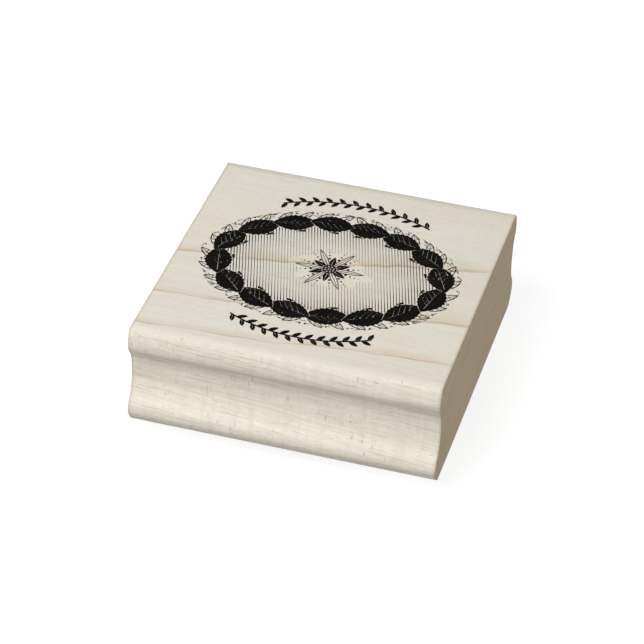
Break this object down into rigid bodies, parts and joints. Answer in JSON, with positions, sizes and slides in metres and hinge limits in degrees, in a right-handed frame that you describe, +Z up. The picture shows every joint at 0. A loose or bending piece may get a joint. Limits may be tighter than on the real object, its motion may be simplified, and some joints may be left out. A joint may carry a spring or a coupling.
{
  "type": "rubber stamp",
  "caption": "Wood-mounted art stamp: moulded maple block with finger grooves and a printed wreath, over a foam cushion and an engraved rubber die.",
  "frame": {"origin": "centre of the stamping face, on the surface that the stamp stands on", "axes": "+Z up through the block, +Y across the grain to the back finger groove, +X along the grain to the sawn end"},
  "size_m": [0.052, 0.055, 0.0223],
  "materials": {
    "maple": "fine sanded, unfinished",
    "ink": "matt print soaked into the wood",
    "adhesive": "clear film",
    "foam": "closed-cell foam",
    "rubber": "laser-engraved matt"
  },
  "bodies": {
    "root": {"wood_block": "maple", "index_wreath": "ink", "index_rosette": "ink", "index_sprig_back": "ink", "index_sprig_front": "ink", "mount_adhesive": "adhesive", "foam_cushion": "foam", "die_adhesive": "adhesive", "rubber_die": "rubber"}
  },
  "joints": []
}
